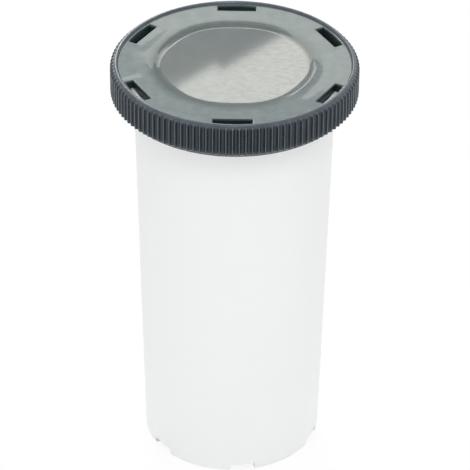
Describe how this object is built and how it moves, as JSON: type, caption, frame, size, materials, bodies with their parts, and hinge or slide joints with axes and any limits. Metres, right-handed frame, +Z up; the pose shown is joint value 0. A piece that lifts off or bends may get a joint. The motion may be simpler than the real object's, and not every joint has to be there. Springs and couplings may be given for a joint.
{
  "type": "paint cup with lid",
  "caption": "Tall round translucent cup on a notched foot ring, with a dark ribbed screw-turn lid that has a dished plate and slots round its rim.",
  "frame": {"origin": "centre of the foot, on the surface that the cup stands on", "axes": "+Z up along the cup's axis, -Y towards the picture's camera, +X to its right"},
  "size_m": [0.11, 0.11, 0.1973],
  "materials": {
    "cup_plastic": "natural translucent moulded plastic",
    "lid_plastic": "dark grey moulded plastic, glossy plate and satin ribs",
    "seal_rubber": "soft black rubber"
  },
  "bodies": {
    "cup": {"cup": "cup_plastic"},
    "seal": {"lid_seal": "seal_rubber"},
    "lid": {"lid": "lid_plastic"}
  },
  "joints": [
    {"name": "lid_lift", "type": "slide", "parent": "cup", "child": "seal", "axis": [0, 0, 1], "range_m": [0, 0.06]},
    {"name": "lid_twist", "type": "hinge", "parent": "seal", "child": "lid", "pos_m": [0, 0, 0.19], "axis": [0, 0, 1], "range_deg": [-30, 0]}
  ]
}
